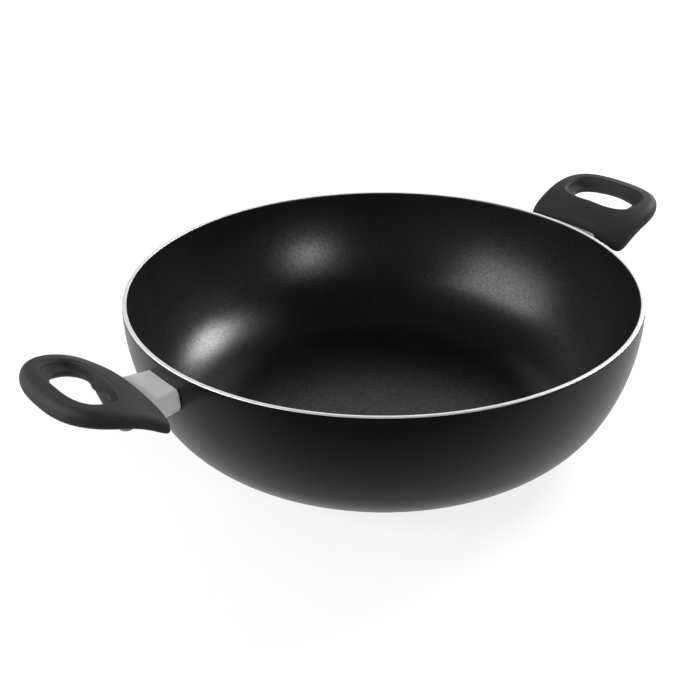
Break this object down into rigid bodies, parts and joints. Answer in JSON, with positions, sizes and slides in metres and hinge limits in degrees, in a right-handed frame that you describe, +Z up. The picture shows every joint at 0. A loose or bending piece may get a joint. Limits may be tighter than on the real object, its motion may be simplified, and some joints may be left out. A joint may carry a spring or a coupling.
{
  "type": "deep frying pan",
  "caption": "Deep round frying pan, black inside and out with a bare metal rim, and a black loop handle on each side held off the wall by a metal flame guard.",
  "frame": {"origin": "centre of the base, on the plane the pan stands on", "axes": "+Z up; +X through the middle of both handles, towards the right one; +Y across them"},
  "size_m": [0.4104, 0.28, 0.0906],
  "materials": {
    "coated_aluminium": "black non-stick inside, satin black lacquer outside, bare turned rim",
    "black_phenolic": "satin black moulding",
    "satin_steel": "satin",
    "bare_aluminium": "sawn",
    "zinc_steel": "zinc plated"
  },
  "bodies": {
    "root": {"pan_body": "coated_aluminium", "right_handle": "black_phenolic", "right_flame_guard": "satin_steel", "right_bracket": "bare_aluminium", "right_screw": "zinc_steel", "right_lock_washer": "zinc_steel", "left_handle": "black_phenolic", "left_flame_guard": "satin_steel", "left_bracket": "bare_aluminium", "left_screw": "zinc_steel", "left_lock_washer": "zinc_steel"}
  },
  "joints": []
}
